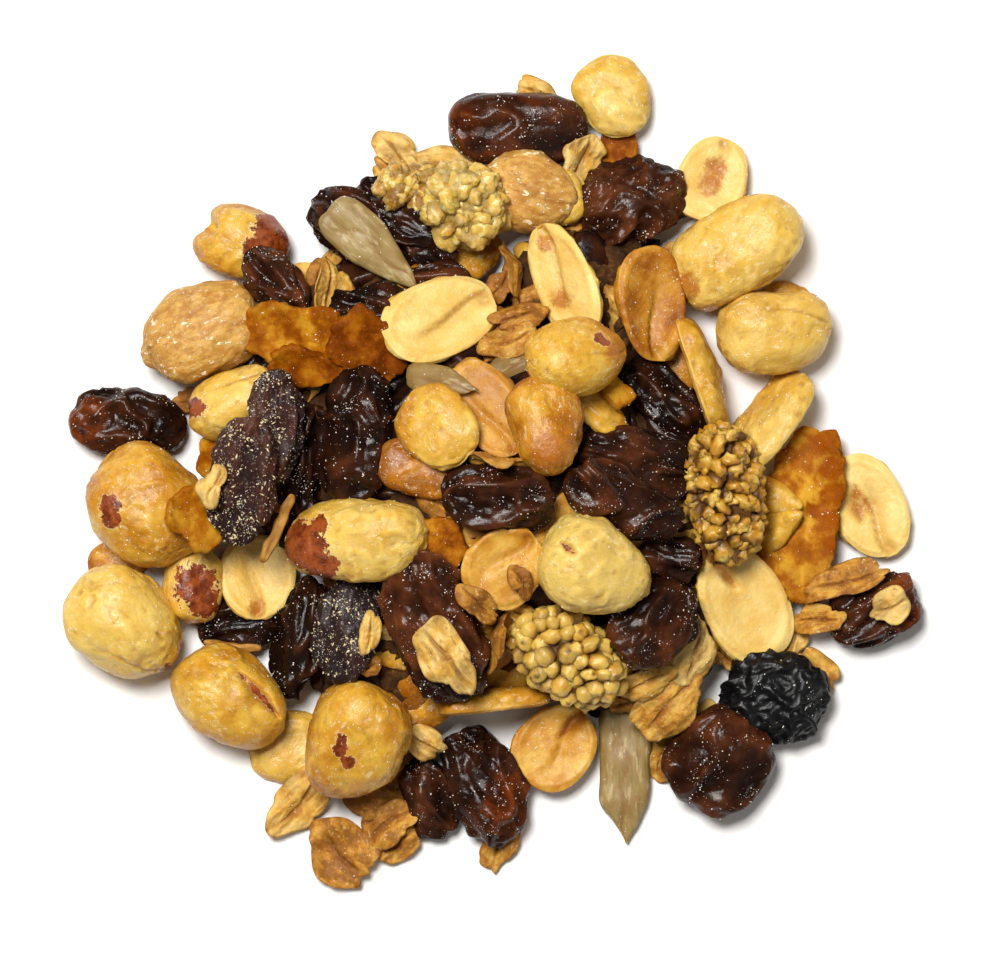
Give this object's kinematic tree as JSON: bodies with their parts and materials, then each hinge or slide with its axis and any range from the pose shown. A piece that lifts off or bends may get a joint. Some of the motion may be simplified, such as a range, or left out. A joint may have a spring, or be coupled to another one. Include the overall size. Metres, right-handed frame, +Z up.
{
  "type": "heap of trail mix",
  "caption": "Loose low heap of trail mix on a bare surface: peanuts, raisins, oats, dried fruit, dried mulberries and sunflower kernels, flat beneath to rest on.",
  "frame": {"origin": "centre of the bounding box, on the surface the heap rests on", "axes": "+Z up; +X and +Y across the heap, with +X along its longer extent"},
  "size_m": [0.086, 0.0836, 0.0183],
  "materials": {
    "mix": "mixed dry food, satin",
    "peanut": "roasted and blanched, satin",
    "raisin": "dark wrinkled skin with a soft gloss",
    "oat": "toasted, matte",
    "kernel": "dry, satin",
    "mulberry": "dried, matte",
    "fruit": "leathery and slightly translucent"
  },
  "bodies": {
    "root": {"trail_mix_heap": "mix"}
  },
  "joints": []
}
